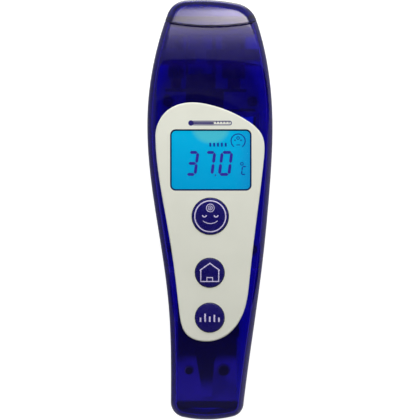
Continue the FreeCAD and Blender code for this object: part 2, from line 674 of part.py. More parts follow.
def main_board():
    solid = plate(BOARD_OUTLINE, BOARD_BOTTOM_Z, BOARD_TOP_Z)
    for place in BOARD_SCREWS:
        solid = solid.cut(disc(place, BELOW_Z, ABOVE_Z, BOARD_HOLE_RADIUS))
    return solid.cut(disc(HOLDER_SCREW, BELOW_Z, ABOVE_Z, HOLDER_BOSS_HOLE_RADIUS))


def board_chips():
    """The processor, a memory chip, two capacitors and a row of small resistors under the board."""
    chips = [block(x, y, (BOARD_BOTTOM_Z - height, BOARD_BOTTOM_Z))
             for x, y, height in (PROCESSOR, MEMORY_CHIP)]
    chips += [disc(place, BOARD_BOTTOM_Z - CAPACITOR_HEIGHT, BOARD_BOTTOM_Z, CAPACITOR_RADIUS)
              for place in CAPACITORS]
    for number in range(RESISTOR_COUNT):
        x = RESISTOR_START_X + RESISTOR_PITCH * number
        chips.append(block((x, x + RESISTOR_WIDTH), RESISTOR_Y,
                           (BOARD_BOTTOM_Z - RESISTOR_HEIGHT, BOARD_BOTTOM_Z)))
    return Part.makeCompound(chips)


def buzzer():
    solid = disc(SOUND_CENTRE, BUZZER_BOTTOM_Z, BOARD_BOTTOM_Z, BUZZER_RADIUS)
    return solid.cut(disc(SOUND_CENTRE, BELOW_Z, BUZZER_BOTTOM_Z + BUZZER_HOLE_DEPTH, BUZZER_HOLE_RADIUS))


# ---- optics --------------------------------------------------------------------------------
def optics_holes():
    """The three bores that the mirror tube and the two projector tubes pass through."""
    tubes = ((MIRROR_X, MIRROR_RADIUS), (LEFT_TUBE_X, LEFT_TUBE_RADIUS), (RIGHT_TUBE_X, RIGHT_TUBE_RADIUS))
    return joined([rod_y(x, OPTICS_Z, SENSOR_BOARD_Y[1], ALONG[1], radius + OPTICS_FIT)
                   for x, radius in tubes])


def optics_frame():
    """The black carrier across the head, cut away over the mirror tube."""
    solid = slab(*CARRIER_Y, WALL + WALL_GAP)
    solid = solid.common(block(ACROSS, CARRIER_Y, CARRIER_Z))
    solid = solid.cut(block((MIRROR_X - CARRIER_OPENING, MIRROR_X + CARRIER_OPENING), CARRIER_Y,
                            (OPTICS_Z, ABOVE_Z)))
    return solid.cut(optics_holes())


def sensor_bezel():
    """The plate that closes the head under the cap."""
    return slab(*BEZEL_Y, WALL + WALL_GAP).cut(optics_holes())


def sensor_mirror():
    """The flared, polished tube that gathers heat radiation for the sensor."""
    solid = rod_y(MIRROR_X, OPTICS_Z, *MIRROR_Y, MIRROR_RADIUS)
    return solid.cut(cone_y(MIRROR_X, OPTICS_Z, MIRROR_Y[0] - MIRROR_OVERRUN, MIRROR_Y[1] + MIRROR_OVERRUN,
                            MIRROR_THROAT_RADIUS, MIRROR_MOUTH_RADIUS))


def sensor_holder():
    """The block that holds the thermopile against the mirror tube."""
    solid = block((MIRROR_X - SENSOR_HALF, MIRROR_X + SENSOR_HALF), (SENSOR_BOARD_Y[1], MIRROR_Y[0]),
                  (OPTICS_Z - SENSOR_HALF, OPTICS_Z + SENSOR_HALF))
    solid = solid.cut(rod_y(MIRROR_X, OPTICS_Z, SENSOR_BOARD_Y[0], SENSOR_SEAT_Y, SENSOR_BORE_RADIUS))
    return solid.cut(rod_y(MIRROR_X, OPTICS_Z, SENSOR_BOARD_Y[0], ALONG[1], MIRROR_THROAT_RADIUS))


def thermopile_can():
    base = rod_y(MIRROR_X, OPTICS_Z, *CAN_BASE_Y, CAN_BASE_RADIUS)
    can = rod_y(MIRROR_X, OPTICS_Z, CAN_BASE_Y[1], SENSOR_SEAT_Y, CAN_RADIUS)
    return joined([base, can]).cut(rod_y(MIRROR_X, OPTICS_Z, CAN_WINDOW_Y[0], ALONG[1], CAN_WINDOW_RADIUS))


def thermopile_window():
    return rod_y(MIRROR_X, OPTICS_Z, *CAN_WINDOW_Y, CAN_WINDOW_RADIUS)


def sensor_board():
    return block(SENSOR_BOARD_X, SENSOR_BOARD_Y, SENSOR_BOARD_Z)


def board_link():
    """The pin header that carries the sensor board on the main board's edge."""
    return block(LINK_X, (BOARD_HEAD_Y, SENSOR_BOARD_Y[0]), (BOARD_BOTTOM_Z, BOARD_TOP_Z))


def projector_tube(x, radius):
    """A projector barrel, bored for its lens and lamp."""
    solid = rod_y(x, OPTICS_Z, *TUBE_Y, radius)
    return solid.cut(rod_y(x, OPTICS_Z, *ALONG, radius - TUBE_WALL))


def projector_lens(x, radius):
    """A plano-convex lens at the mouth of a barrel."""
    rim = rod_y(x, OPTICS_Z, *LENS_Y, radius - TUBE_WALL)
    front_radius = radius * LENS_CURVE
    return rim.common(Part.makeSphere(front_radius, Vector(x, LENS_Y[1] - front_radius, OPTICS_Z)))


def projector_lamp(x, radius):
    """An LED with a domed nose, standing on the sensor board."""
    lamp_radius = min(radius - LAMP_GAP, LAMP_RADIUS)
    barrel = rod_y(x, OPTICS_Z, SENSOR_BOARD_Y[1], LAMP_NOSE_Y, lamp_radius)
    return joined([barrel, Part.makeSphere(lamp_radius, Vector(x, LAMP_NOSE_Y, OPTICS_Z))])


def digit_mask():
    """The thin mask in the right barrel that shapes the projected reading."""
    solid = rod_y(RIGHT_TUBE_X, OPTICS_Z, *MASK_Y, RIGHT_TUBE_RADIUS - TUBE_WALL)
    for step in (-1, 0, 1):
        x = RIGHT_TUBE_X + MASK_PITCH * step
        solid = solid.cut(block((x - MASK_HALF_WIDTH, x + MASK_HALF_WIDTH), ALONG,
                                (OPTICS_Z - MASK_HALF_HEIGHT, OPTICS_Z + MASK_HALF_HEIGHT)))
    return solid


# ---- batteries -----------------------------------------------------------------------------
def battery(x, nipple_at_head):
    """One AAA cell along the handle."""
    body_y = CELL_TAIL_Y if nipple_at_head else CELL_TAIL_Y + CELL_NIPPLE
    nipple_y = body_y + CELL_BODY if nipple_at_head else CELL_TAIL_Y
    body = rod_y(x, CELL_Z, body_y, body_y + CELL_BODY, CELL_RADIUS)
    rims = [edge for edge in body.Edges if edge.Length > 4 * CELL_RADIUS
            and abs(edge.tangentAt(edge.FirstParameter).y) < NEAR]
    nipple = rod_y(x, CELL_Z, nipple_y, nipple_y + CELL_NIPPLE, CELL_NIPPLE_RADIUS)
    return joined([body.makeFillet(CELL_EDGE_RADIUS, rims), nipple])


def battery_holder():
    """The tray over the cells, open towards the battery cover, with a wall at each end."""
    inside_y = (HOLDER_Y[0] + HOLDER_END, HOLDER_Y[1] - HOLDER_END)
    solid = block(HOLDER_X, HOLDER_Y, (CELL_Z, HOLDER_TOP_Z))
    for x in (CELL_LEFT_X, CELL_RIGHT_X):
        solid = solid.cut(rod_y(x, CELL_Z, *inside_y, CELL_RADIUS + CELL_GAP))
    solid = joined([solid, block(HOLDER_X, (HOLDER_Y[0], inside_y[0]), (TAIL_WALL_BOTTOM_Z, HOLDER_TOP_Z)),
                    block(HOLDER_X, (inside_y[1], HOLDER_Y[1]), (HEAD_WALL_BOTTOM_Z, HOLDER_TOP_Z))])
    solid = solid.cut(bridge_contact())
    solid = solid.cut(disc(HOLDER_SCREW, BELOW_Z, HOLDER_SEAT_Z, HOLDER_HEAD_HOLE_RADIUS))
    return solid.cut(disc(HOLDER_SCREW, BELOW_Z, ABOVE_Z, HOLDER_HOLE_RADIUS))


def holder_pad():
    """The foam pad that holds the tray off the handle's end."""
    return slab(*PAD_Y, WALL + PAD_GAP).common(block(ACROSS, PAD_Y, PAD_Z))


def holder_screw():
    """The screw between the cells that ties the tray to a boss of the front cover."""
    head = disc(HOLDER_SCREW, HOLDER_SEAT_Z - HOLDER_HEAD_HEIGHT, HOLDER_SEAT_Z, HOLDER_HEAD_RADIUS)
    return joined([head, disc(HOLDER_SCREW, HOLDER_SEAT_Z, HOLDER_SCREW_TOP_Z, HOLDER_SCREW_RADIUS)])


def coil(x, y_low, y_high, radius_low, radius_high):
    """A conical contact spring along Y."""
    height = y_high - y_low
    angle = math.degrees(math.atan((radius_high - radius_low) / height))
    helix = Part.makeHelix(height / SPRING_TURNS, height, radius_low, angle)
    section = Part.Wire([Part.makeCircle(SPRING_WIRE, Vector(radius_low, 0, 0), Vector(0, 1, 0))])
    spring = Part.Wire(helix.Edges).makePipeShell([section], True, True)
    spring.rotate(Vector(0, 0, 0), Vector(1, 0, 0), -90)
    spring.translate(Vector(x, y_low, CELL_Z))
    return spring


def spring_left():
    """The spring between the bridge at the handle's end and the left cell's flat end."""
    plate_y = HOLDER_Y[0] + HOLDER_END + CONTACT_THICKNESS
    return coil(CELL_LEFT_X, plate_y + SPRING_WIRE, CELL_TAIL_Y - SPRING_WIRE, SPRING_WIDE, SPRING_NARROW)


def spring_right():
    """The spring between the right cell's flat end and its contact at the head's end."""
    plate_y = HOLDER_Y[1] - HOLDER_END - CONTACT_THICKNESS
    cell_y = CELL_TAIL_Y + CELL_NIPPLE + CELL_BODY
    return coil(CELL_RIGHT_X, cell_y + SPRING_WIRE, plate_y - SPRING_WIRE, SPRING_NARROW, SPRING_WIDE)


def contact_plate(x_low, x_high, y):
    """A flat battery contact, upright across the tray."""
    return block((x_low - CONTACT_HALF, x_high + CONTACT_HALF), (y, y + CONTACT_THICKNESS),
                 (CELL_Z - CONTACT_HALF, CELL_Z + CONTACT_HALF))


def bridge_contact():
    """The plate at the handle's end that joins both cells."""
    return contact_plate(CELL_LEFT_X, CELL_RIGHT_X, HOLDER_Y[0] + HOLDER_END)


def head_contact(x):
    """The plate at the head's end of one cell."""
    return contact_plate(x, x, HOLDER_Y[1] - HOLDER_END - CONTACT_THICKNESS)


# ---- fasteners -----------------------------------------------------------------------------
def case_screw(place):
    """A self-tapping screw, driven from the back, with a cross recess."""
    low_z = CASE_SCREW_SEAT_Z - CASE_HEAD_HEIGHT
    head = disc(place, low_z, CASE_SCREW_SEAT_Z, CASE_HEAD_RADIUS)
    for width, length in ((CROSS_WIDTH, CROSS_LENGTH), (CROSS_LENGTH, CROSS_WIDTH)):
        slot = block((place[0] - width / 2, place[0] + width / 2),
                     (place[1] - length / 2, place[1] + length / 2), (BELOW_Z, low_z + CROSS_DEPTH))
        head = head.cut(slot)
    return joined([head, disc(place, CASE_SCREW_SEAT_Z, CASE_SCREW_TOP_Z, CASE_SCREW_RADIUS)])


def case_screws():
    return Part.makeCompound([case_screw(place) for place in CASE_SCREWS])


def board_screws():
    screws = []
    for place in BOARD_SCREWS:
        head = disc(place, BOARD_BOTTOM_Z - BOARD_HEAD_HEIGHT, BOARD_BOTTOM_Z, BOARD_HEAD_RADIUS)
        screws.append(joined([head, disc(place, BOARD_BOTTOM_Z, BOARD_SCREW_TOP_Z, BOARD_SCREW_RADIUS)]))
    return Part.makeCompound(screws)


def all_parts():
    parts = {"front_cover": front_cover(), "rear_cover": rear_cover(), "battery_cover": battery_cover(),
             "protective_cap": protective_cap(), "cap_seal": cap_seal(), "face_panel": face_panel(),
             "display_window": display_window(), "lcd_cell": lcd_cell(), "lcd_frame": lcd_frame(),
             "backlight_panel": backlight_panel(), "backlight_leds": backlight_leds(),
             "zebra_strip": zebra_strip(), "main_board": main_board(), "board_chips": board_chips(),
             "buzzer": buzzer(), "keypad_mat": keypad_mat(), "optics_frame": optics_frame(),
             "sensor_bezel": sensor_bezel(), "sensor_mirror": sensor_mirror(),
             "sensor_holder": sensor_holder(), "thermopile_can": thermopile_can(),
             "thermopile_window": thermopile_window(), "sensor_board": sensor_board(),
             "board_link": board_link(), "digit_mask": digit_mask(), "battery_holder": battery_holder(),
             "holder_pad": holder_pad(), "battery_left": battery(CELL_LEFT_X, True),
             "battery_right": battery(CELL_RIGHT_X, False), "bridge_contact": bridge_contact(),
             "positive_contact": head_contact(CELL_LEFT_X), "negative_contact": head_contact(CELL_RIGHT_X),
             "spring_left": spring_left(), "spring_right": spring_right(), "case_screws": case_screws(),
             "board_screws": board_screws(), "holder_screw": holder_screw()}
    for name in KEYS:
        parts[name + "_key"] = key(name)
        parts[name + "_dome"] = dome(name)
    tubes = (("left", LEFT_TUBE_X, LEFT_TUBE_RADIUS), ("right", RIGHT_TUBE_X, RIGHT_TUBE_RADIUS))
    for side, x, radius in tubes:
        parts["projector_tube_" + side] = projector_tube(x, radius)
        parts["projector_lens_" + side] = projector_lens(x, radius)
        parts["projector_lamp_" + side] = projector_lamp(x, radius)
    return parts


os.makedirs("parts", exist_ok=True)
for part_name, shape in all_parts().items():
    shape.exportStep("parts/" + part_name + ".step")
    print(part_name, shape.isValid(), len(shape.Solids), round(shape.Volume, 1))
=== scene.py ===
"""Looks of the infrared thermometer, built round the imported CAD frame. Metres, in the frame's own axes."""
import json
import math

import bmesh
import bpy
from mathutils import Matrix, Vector
from mathutils.bvhtree import BVHTree


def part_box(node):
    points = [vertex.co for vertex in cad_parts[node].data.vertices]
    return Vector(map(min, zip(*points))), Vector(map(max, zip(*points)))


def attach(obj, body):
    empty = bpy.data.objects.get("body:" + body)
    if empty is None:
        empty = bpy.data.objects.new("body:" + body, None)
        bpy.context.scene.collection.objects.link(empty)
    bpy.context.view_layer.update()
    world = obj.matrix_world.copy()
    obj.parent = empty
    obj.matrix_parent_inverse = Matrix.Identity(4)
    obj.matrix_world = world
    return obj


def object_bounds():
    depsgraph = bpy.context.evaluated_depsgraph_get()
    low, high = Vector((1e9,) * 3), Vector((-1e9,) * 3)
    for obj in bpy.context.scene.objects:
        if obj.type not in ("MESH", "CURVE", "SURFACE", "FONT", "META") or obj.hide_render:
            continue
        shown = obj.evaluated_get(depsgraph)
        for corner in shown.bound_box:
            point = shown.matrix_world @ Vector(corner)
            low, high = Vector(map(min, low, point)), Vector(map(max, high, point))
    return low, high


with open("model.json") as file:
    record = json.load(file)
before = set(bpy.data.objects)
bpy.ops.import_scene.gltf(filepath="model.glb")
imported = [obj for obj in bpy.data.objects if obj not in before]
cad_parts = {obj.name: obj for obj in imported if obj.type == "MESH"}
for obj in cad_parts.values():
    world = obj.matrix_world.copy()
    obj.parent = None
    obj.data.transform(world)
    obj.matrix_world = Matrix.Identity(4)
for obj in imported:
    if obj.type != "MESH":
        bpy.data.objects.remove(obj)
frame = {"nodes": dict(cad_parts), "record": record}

MM = 0.001
cad_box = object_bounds()
low, high = cad_box
window_low, window_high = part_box("display_window")

# Sizes and places on the object, in millimetres unless they are multiplied by MM.
WINDOW_FLANGE = 0.7 * MM       # the part of the window that the panel covers, on each side
WINDOW_CORNER = 2.1 * MM
COVER_WALL = 2.0 * MM
CAP_WALL = 3.6 * MM            # the cap's wall and what lies close behind it
SEAM_CENTRE = (0.4, 150.8)     # of the arc of the cap's seam
LIP_RADIUS = 83.55
LIP_WIDTH = 0.6
LIP_HALF_TURN = 10.5           # degrees
LIP_STEPS = 40
TRAY_PADS = [(-7.7, -59.3, 1.55), (5.1, -59.2, 2.05)]    # at the posts: place and radius
TRAY_PAINTED_SHADE_Y = (-57 * MM, -53 * MM)                      # where the tray turns to painted shade under the board
BOARD_END_Y = (-68 * MM, -61 * MM)                       # where the board's bare end turns green


# ---- materials -----------------------------------------------------------------------------
# Noise scales are in waves per metre; gloss values are Principled roughness.
COLOUR_SCALE = 60.0
GLOSS_SCALE = 400.0
GRAIN_SCALE = 2500.0
INK_SCALE = 900.0
INK_GLOSS_SCALE = 1500.0
GLOSS_SPREAD = 0.05            # how far gloss wanders each way
NOISE_LOW = 0.3                # most of a noise lies between these two
NOISE_HIGH = 0.7
MATT = (0.5, 0.6)
BLACK = (0.0, 0.0, 0.0, 1.0)
BRIGHT_WHITE = (242, 243, 244)
TRAY_PAINTED_GLOW = 0.27              # strength of the tray's painted glow, standing in for light that comes through from behind
# Strength of the painted glow on the board's bare end, standing in for light from behind.
BOARD_PAINTED_GLOW = 0.28


def linear(red, green, blue):
    """An sRGB colour of 0 to 255 as scene-linear values."""
    values = []
    for level in (red, green, blue):
        level = level / 255
        values.append(level / 12.92 if level <= 0.04045 else ((level + 0.055) / 1.055) ** 2.4)
    return (*values, 1.0)


def shade(colour, factor):
    return tuple(factor * level for level in colour[:3]) + (1.0,)


def grey(level):
    return (level, level, level, 1.0)


def set_stops(color_ramp, stops):
    """Gives a colour ramp its stops from (position, colour) pairs."""
    elements = color_ramp.elements
    while len(elements) < len(stops):
        elements.new(stops[len(elements) - 1][0])
    for element, (position, colour) in zip(elements, stops):
        element.position = position
        element.color = colour


class Shader:
    """A material's node tree with short ways to add what the materials here need."""

    def __init__(self, name):
        self.material = bpy.data.materials.new(name)
        self.material.use_nodes = True
        self.tree = self.material.node_tree
        self.surface = self.tree.nodes["Principled BSDF"]
        self.output = self.tree.nodes["Material Output"]
        self.place = self.add("ShaderNodeTexCoord").outputs["Object"]

    def add(self, kind, **values):
        node = self.tree.nodes.new(kind)
        for name, value in values.items():
            setattr(node, name, value)
        return node

    def link(self, source, target):
        self.tree.links.new(source, target)

    def set(self, **values):
        for name, value in values.items():
            self.surface.inputs[name.replace("_", " ")].default_value = value

    def noise(self, per_metre, detail=2.0):
        node = self.add("ShaderNodeTexNoise")
        node.inputs["Scale"].default_value = per_metre
        node.inputs["Detail"].default_value = detail
        self.link(self.place, node.inputs["Vector"])
        return node.outputs["Fac"]

    def ramp(self, source, stops, interpolation="LINEAR"):
        """A colour ramp from (position, colour) pairs."""
        node = self.add("ShaderNodeValToRGB")
        node.color_ramp.interpolation = interpolation
        set_stops(node.color_ramp, stops)
        self.link(source, node.inputs["Fac"])
        return node.outputs["Color"]

    def spread(self, source, low_value, high_value, low_at=0.0, high_at=1.0, smooth=False):
        node = self.add("ShaderNodeMapRange")
        if smooth:
            node.interpolation_type = "SMOOTHSTEP"
        node.inputs["From Min"].default_value = low_at
        node.inputs["From Max"].default_value = high_at
        node.inputs["To Min"].default_value = low_value
        node.inputs["To Max"].default_value = high_value
        self.link(source, node.inputs["Value"])
        return node.outputs["Result"]

    def along(self, axis):
        node = self.add("ShaderNodeSeparateXYZ")
        self.link(self.place, node.inputs["Vector"])
        return node.outputs[axis]

    def math(self, operation, one, other):
        node = self.add("ShaderNodeMath", operation=operation)
        for socket, value in zip(node.inputs, (one, other)):
            if isinstance(value, (int, float)):
                socket.default_value = value
            else:
                self.link(value, socket)
        return node.outputs["Value"]

    def round_distance(self, centre, half_size):
        """The square of the distance from a place, in half sizes: 1 on an ellipse."""
        squares = []
        for axis, middle, reach in zip("XY", centre, half_size):
            offset = self.math("DIVIDE", self.math("SUBTRACT", self.along(axis), middle), reach)
            squares.append(self.math("POWER", offset, 2.0))
        return self.math("ADD", *squares)

    def mix(self, factor, one, other):
        """Two colours, plain or linked, mixed by a linked factor."""
        node = self.add("ShaderNodeMix", data_type="RGBA")
        self.link(factor, node.inputs["Factor"])
        sockets = [socket for socket in node.inputs if socket.type == "RGBA"]
        for socket, value in zip(sockets, (one, other)):
            if isinstance(value, tuple):
                socket.default_value = value
            else:
                self.link(value, socket)
        return [socket for socket in node.outputs if socket.type == "RGBA"][0]

    def mottle(self, base, other, per_metre, detail=3.0):
        """A colour that wanders a little between two."""
        colour = self.ramp(self.noise(per_metre, detail), [(NOISE_LOW, base), (NOISE_HIGH, other)])
        self.link(colour, self.surface.inputs["Base Color"])

    def rough(self, low_value, high_value, per_metre, detail=3.0):
        gloss = self.spread(self.noise(per_metre, detail), low_value, high_value, NOISE_LOW, NOISE_HIGH)
        self.link(gloss, self.surface.inputs["Roughness"])

    def bump(self, source, height, strength=0.5):
        node = self.add("ShaderNodeBump")
        node.inputs["Strength"].default_value = strength
        node.inputs["Distance"].default_value = height
        self.link(source, node.inputs["Height"])
        self.link(node.outputs["Normal"], self.surface.inputs["Normal"])


def moulded(name, colour, other, roughness, grain=0.02 * MM, specular=0.5):
    """Moulded plastic: slightly uneven colour and gloss, and a fine spark-eroded grain."""
    shader = Shader(name)
    shader.mottle(colour, other, COLOUR_SCALE)
    shader.rough(roughness - GLOSS_SPREAD, roughness + GLOSS_SPREAD, GLOSS_SCALE)
    shader.bump(shader.noise(GRAIN_SCALE), grain)
    shader.set(Specular_IOR_Level=specular)
    return shader.material


# What one cover wall leaves of white light, at its deepest and its palest.
COBALT_TINTS = [(0.030, 0.014, 0.53), (0.022, 0.010, 0.49)]
COBALT_SCALE = 55.0
COBALT_GLOSS = (0.10, 0.16)
COBALT_GLOSS_SCALE = 300.0
COBALT_INDEX = 1.58
COBALT_SHEEN = (1.0, 0.92, 1.0, 1.0)
COVER_CLEAR = 0.93             # the share of the light that goes straight through; the rest is haze
CAP_CLEAR = 0.95
WAVE_SCALE = 45.0
WAVE_HEIGHT = 0.06 * MM
WAVE_STRENGTH = 0.25


def cobalt_plastic(name, wall, clear):
    """Tinted clear plastic with a trace of haze and a slightly wavy surface, deeper in a thick wall."""
    shader = Shader(name)
    walls = wall / COVER_WALL
    deep, pale = [tuple(level ** walls for level in tint) + (1.0,) for tint in COBALT_TINTS]
    shader.mottle(deep, pale, COBALT_SCALE)
    shader.rough(*COBALT_GLOSS, COBALT_GLOSS_SCALE)
    shader.bump(shader.noise(WAVE_SCALE, 1.0), WAVE_HEIGHT, WAVE_STRENGTH)
    shader.set(Transmission_Weight=clear, IOR=COBALT_INDEX, Specular_Tint=COBALT_SHEEN)
    return shader.material


CLEAR_TINTS = [(0.97, 0.985, 1.0, 1.0), (0.95, 0.975, 0.99, 1.0)]
CLEAR_SCALE = 90.0
CLEAR_GLOSS_SCALE = 300.0
CLEAR_GLOSS_SPREAD = 0.02


def clear_plastic(name, index, roughness):
    shader = Shader(name)
    shader.mottle(*CLEAR_TINTS, CLEAR_SCALE)
    shader.rough(roughness, roughness + CLEAR_GLOSS_SPREAD, CLEAR_GLOSS_SCALE)
    shader.set(Transmission_Weight=1.0, IOR=index)
    return shader.material


METAL_SCALE = 400.0
METAL_GLOSS_SCALE = 1500.0
METAL_SHADE = 0.85
METAL_GLOSS_BELOW = 0.06
METAL_GLOSS_ABOVE = 0.08


def metal(name, colour, roughness):
    shader = Shader(name)
    shader.set(Metallic=1.0)
    shader.mottle(colour, shade(colour, METAL_SHADE), METAL_SCALE)
    shader.rough(roughness - METAL_GLOSS_BELOW, roughness + METAL_GLOSS_ABOVE, METAL_GLOSS_SCALE)
    return shader.material


INK_SHADE = 0.9


def printed(name, colour, roughness=0.45, specular=0.5):
    """Ink: a thin film with a little unevenness."""
    shader = Shader(name)
    shader.mottle(colour, shade(colour, INK_SHADE), INK_SCALE)
    shader.rough(roughness - GLOSS_SPREAD, roughness + GLOSS_SPREAD, INK_GLOSS_SCALE)
    shader.set(Specular_IOR_Level=specular)
    return shader.material


SEGMENT_SCALE = 1200.0
SEGMENT_UNLIT = (0.1, 0.2)     # the segment's own colour, as shares of its lit one
SEGMENT_SHADE = 0.92
DISPLAY_SPECULAR = 0.1


def lit_segment(name, colour):
    """A dark display segment with the backlight behind it."""
    shader = Shader(name)
    shader.mottle(*[shade(colour, share) for share in SEGMENT_UNLIT], INK_SCALE)
    shader.rough(*MATT, INK_GLOSS_SCALE)
    stops = [(NOISE_LOW, colour), (NOISE_HIGH, shade(colour, SEGMENT_SHADE))]
    light = shader.ramp(shader.noise(SEGMENT_SCALE), stops)
    shader.link(light, shader.surface.inputs["Emission Color"])
    shader.set(Specular_IOR_Level=DISPLAY_SPECULAR, Emission_Strength=1.0)
    return shader.material


DISPLAY_UNLIT = [(0.0, 0.02, 0.04, 1.0), (0.0, 0.03, 0.05, 1.0)]
DISPLAY_SCALE = 200.0
DISPLAY_STOPS = [(0.0, (0, 156, 210)), (0.3, (0, 162, 215)), (0.7, (0, 172, 223)), (1.0, (2, 183, 230))]
DISPLAY_SIDE = (20, 130, 198)      # the colour that the right side fades to
DISPLAY_SIDE_WIDTH = 8 * MM
DISPLAY_SIDE_SHARE = 0.55
GLOW_COLOUR = (72, 191, 211)
GLOW_HALF_SIZE = (7.0 * MM, 6.0 * MM)
GLOW_FADE = (0.55, 1.25)           # the squares of the distances between which the glow fades
DISPLAY_DARK_EDGE = 0.3 * MM


def lcd_glow():
    """The lit display: cyan, deeper at the bottom and the right, with a paler soft half-disc at the top."""
    shader = Shader("lcd_glow")
    shader.mottle(*DISPLAY_UNLIT, DISPLAY_SCALE)
    shader.rough(*MATT, GLOSS_SCALE)
    across, along = shader.along("X"), shader.along("Y")
    height = shader.spread(along, 0, 1, window_low.y, window_high.y)
    field = shader.ramp(height, [(place, linear(*colour)) for place, colour in DISPLAY_STOPS])
    side_start = window_high.x - DISPLAY_SIDE_WIDTH
    dim = shader.spread(across, 0, DISPLAY_SIDE_SHARE, side_start, window_high.x, smooth=True)
    field = shader.mix(dim, field, linear(*DISPLAY_SIDE))
    middle = (window_low.x + window_high.x) / 2
    glow = shader.spread(shader.round_distance((middle, window_high.y), GLOW_HALF_SIZE), 1.0, 0.0, *GLOW_FADE,
                         smooth=True)
    field = shader.mix(glow, field, linear(*GLOW_COLOUR))
    from_middle = shader.math("ABSOLUTE", shader.math("SUBTRACT", across, middle), 0)
    half_width = (window_high.x - window_low.x) / 2
    lit = shader.spread(from_middle, 1.0, 0.0, half_width - DISPLAY_DARK_EDGE, half_width)
    shader.link(shader.mix(lit, BLACK, field), shader.surface.inputs["Emission Color"])
    shader.set(Specular_IOR_Level=DISPLAY_SPECULAR, Emission_Strength=1.0)
    return shader.material


TRAY_CLOUD = (178, 178, 184)
TRAY_CLOUD_SCALE = 130.0
TRAY_CLOUD_STOPS = (0.32, 0.55)
TRAY_DARK = (26, 26, 30)
TRAY_GLOSS = (0.37, 0.47)
PAD_EDGE = (0.8, 1.3)              # a pad's soft edge, in shares of its radius


def tray_plastic():
    """White plastic with a painted glow that stands in for light from behind, painted shade under the board,
    and dark pads at the posts.
    """
    shader = Shader("tray_plastic")
    # Where the painted glow shows: it gives way to painted shade under the board and to dark pads at the
    # posts.
    clear = shader.spread(shader.along("Y"), 1.0, 0.0, *TRAY_PAINTED_SHADE_Y, smooth=True)
    for x, y, radius in TRAY_PADS:
        distance = shader.round_distance((x * MM, y * MM), (radius * MM, radius * MM))
        beside = shader.spread(distance, 0.0, 1.0, *[share ** 2 for share in PAD_EDGE])
        clear = shader.math("MULTIPLY", clear, beside)
    colours = [linear(*TRAY_CLOUD), linear(*BRIGHT_WHITE)]
    white = shader.ramp(shader.noise(TRAY_CLOUD_SCALE, 1.0), list(zip(TRAY_CLOUD_STOPS, colours)))
    shader.link(shader.mix(clear, linear(*TRAY_DARK), white), shader.surface.inputs["Base Color"])
    # The painted glow: the tray lights itself, standing in for light coming through it from behind.
    shader.link(shader.mix(clear, BLACK, white), shader.surface.inputs["Emission Color"])
    shader.rough(*TRAY_GLOSS, GLOSS_SCALE)
    shader.set(Emission_Strength=TRAY_PAINTED_GLOW)
    return shader.material


RESIST_STOPS = [(0.45, (0.004, 0.03, 0.016, 1.0)), (0.6, (0.012, 0.07, 0.03, 1.0))]
TRACK_SCALE = 420.0
TRACK_BEND = 9.0
TRACK_HEIGHT = 0.03 * MM
BOARD_GLOSS = (0.3, 0.4)
BOARD_GLOSS_SCALE = 500.0


def circuit_board():
    """Green solder resist over copper tracks, which show as lighter lines, with a bare, pale tail end that
    has a painted glow for light from behind.
    """
    shader = Shader("circuit_board")
    wave = shader.add("ShaderNodeTexWave", wave_type="BANDS", bands_direction="X")
    wave.inputs["Scale"].default_value = TRACK_SCALE
    wave.inputs["Distortion"].default_value = TRACK_BEND
    wave.inputs["Detail"].default_value = 0.0
    shader.link(shader.place, wave.inputs["Vector"])
    green = shader.ramp(wave.outputs["Fac"], RESIST_STOPS)
    bare = shader.spread(shader.along("Y"), 1.0, 0.0, *BOARD_END_Y, smooth=True)
    pale = linear(*BRIGHT_WHITE)
    shader.link(shader.mix(bare, green, pale), shader.surface.inputs["Base Color"])
    # The bare end's painted glow.
    shader.link(shader.mix(bare, BLACK, pale), shader.surface.inputs["Emission Color"])
    shader.set(Emission_Strength=BOARD_PAINTED_GLOW)
    shader.rough(*BOARD_GLOSS, BOARD_GLOSS_SCALE)
    shader.bump(wave.outputs["Fac"], TRACK_HEIGHT)
    return shader.material


JACKET_STEEL = (190, 190, 188)
JACKET_BLACK = (20, 22, 28)
JACKET_SILVER = (150, 152, 158)
# Where each colour starts, from the cell's flat end.
JACKET_STOPS = [(0.0, JACKET_STEEL), (0.035, JACKET_BLACK), (0.30, JACKET_SILVER), (0.34, JACKET_BLACK),
                (0.955, JACKET_STEEL)]
JACKET_GLOSS = (0.22, 0.34)
JACKET_GLOSS_SCALE = 500.0
JACKET_METAL = 0.6


def cell_jacket():
    """The printed sleeve of a battery with bare metal ends."""
    shader = Shader("cell_jacket")
    cell_low, cell_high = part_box("battery_left")
    height = shader.spread(shader.along("Y"), 0, 1, cell_low.y, cell_high.y)
    colour = shader.ramp(height, [(place, linear(*level)) for place, level in JACKET_STOPS], "CONSTANT")
    shader.link(colour, shader.surface.inputs["Base Color"])
    shader.rough(*JACKET_GLOSS, JACKET_GLOSS_SCALE)
    shader.set(Metallic=JACKET_METAL)
    return shader.material


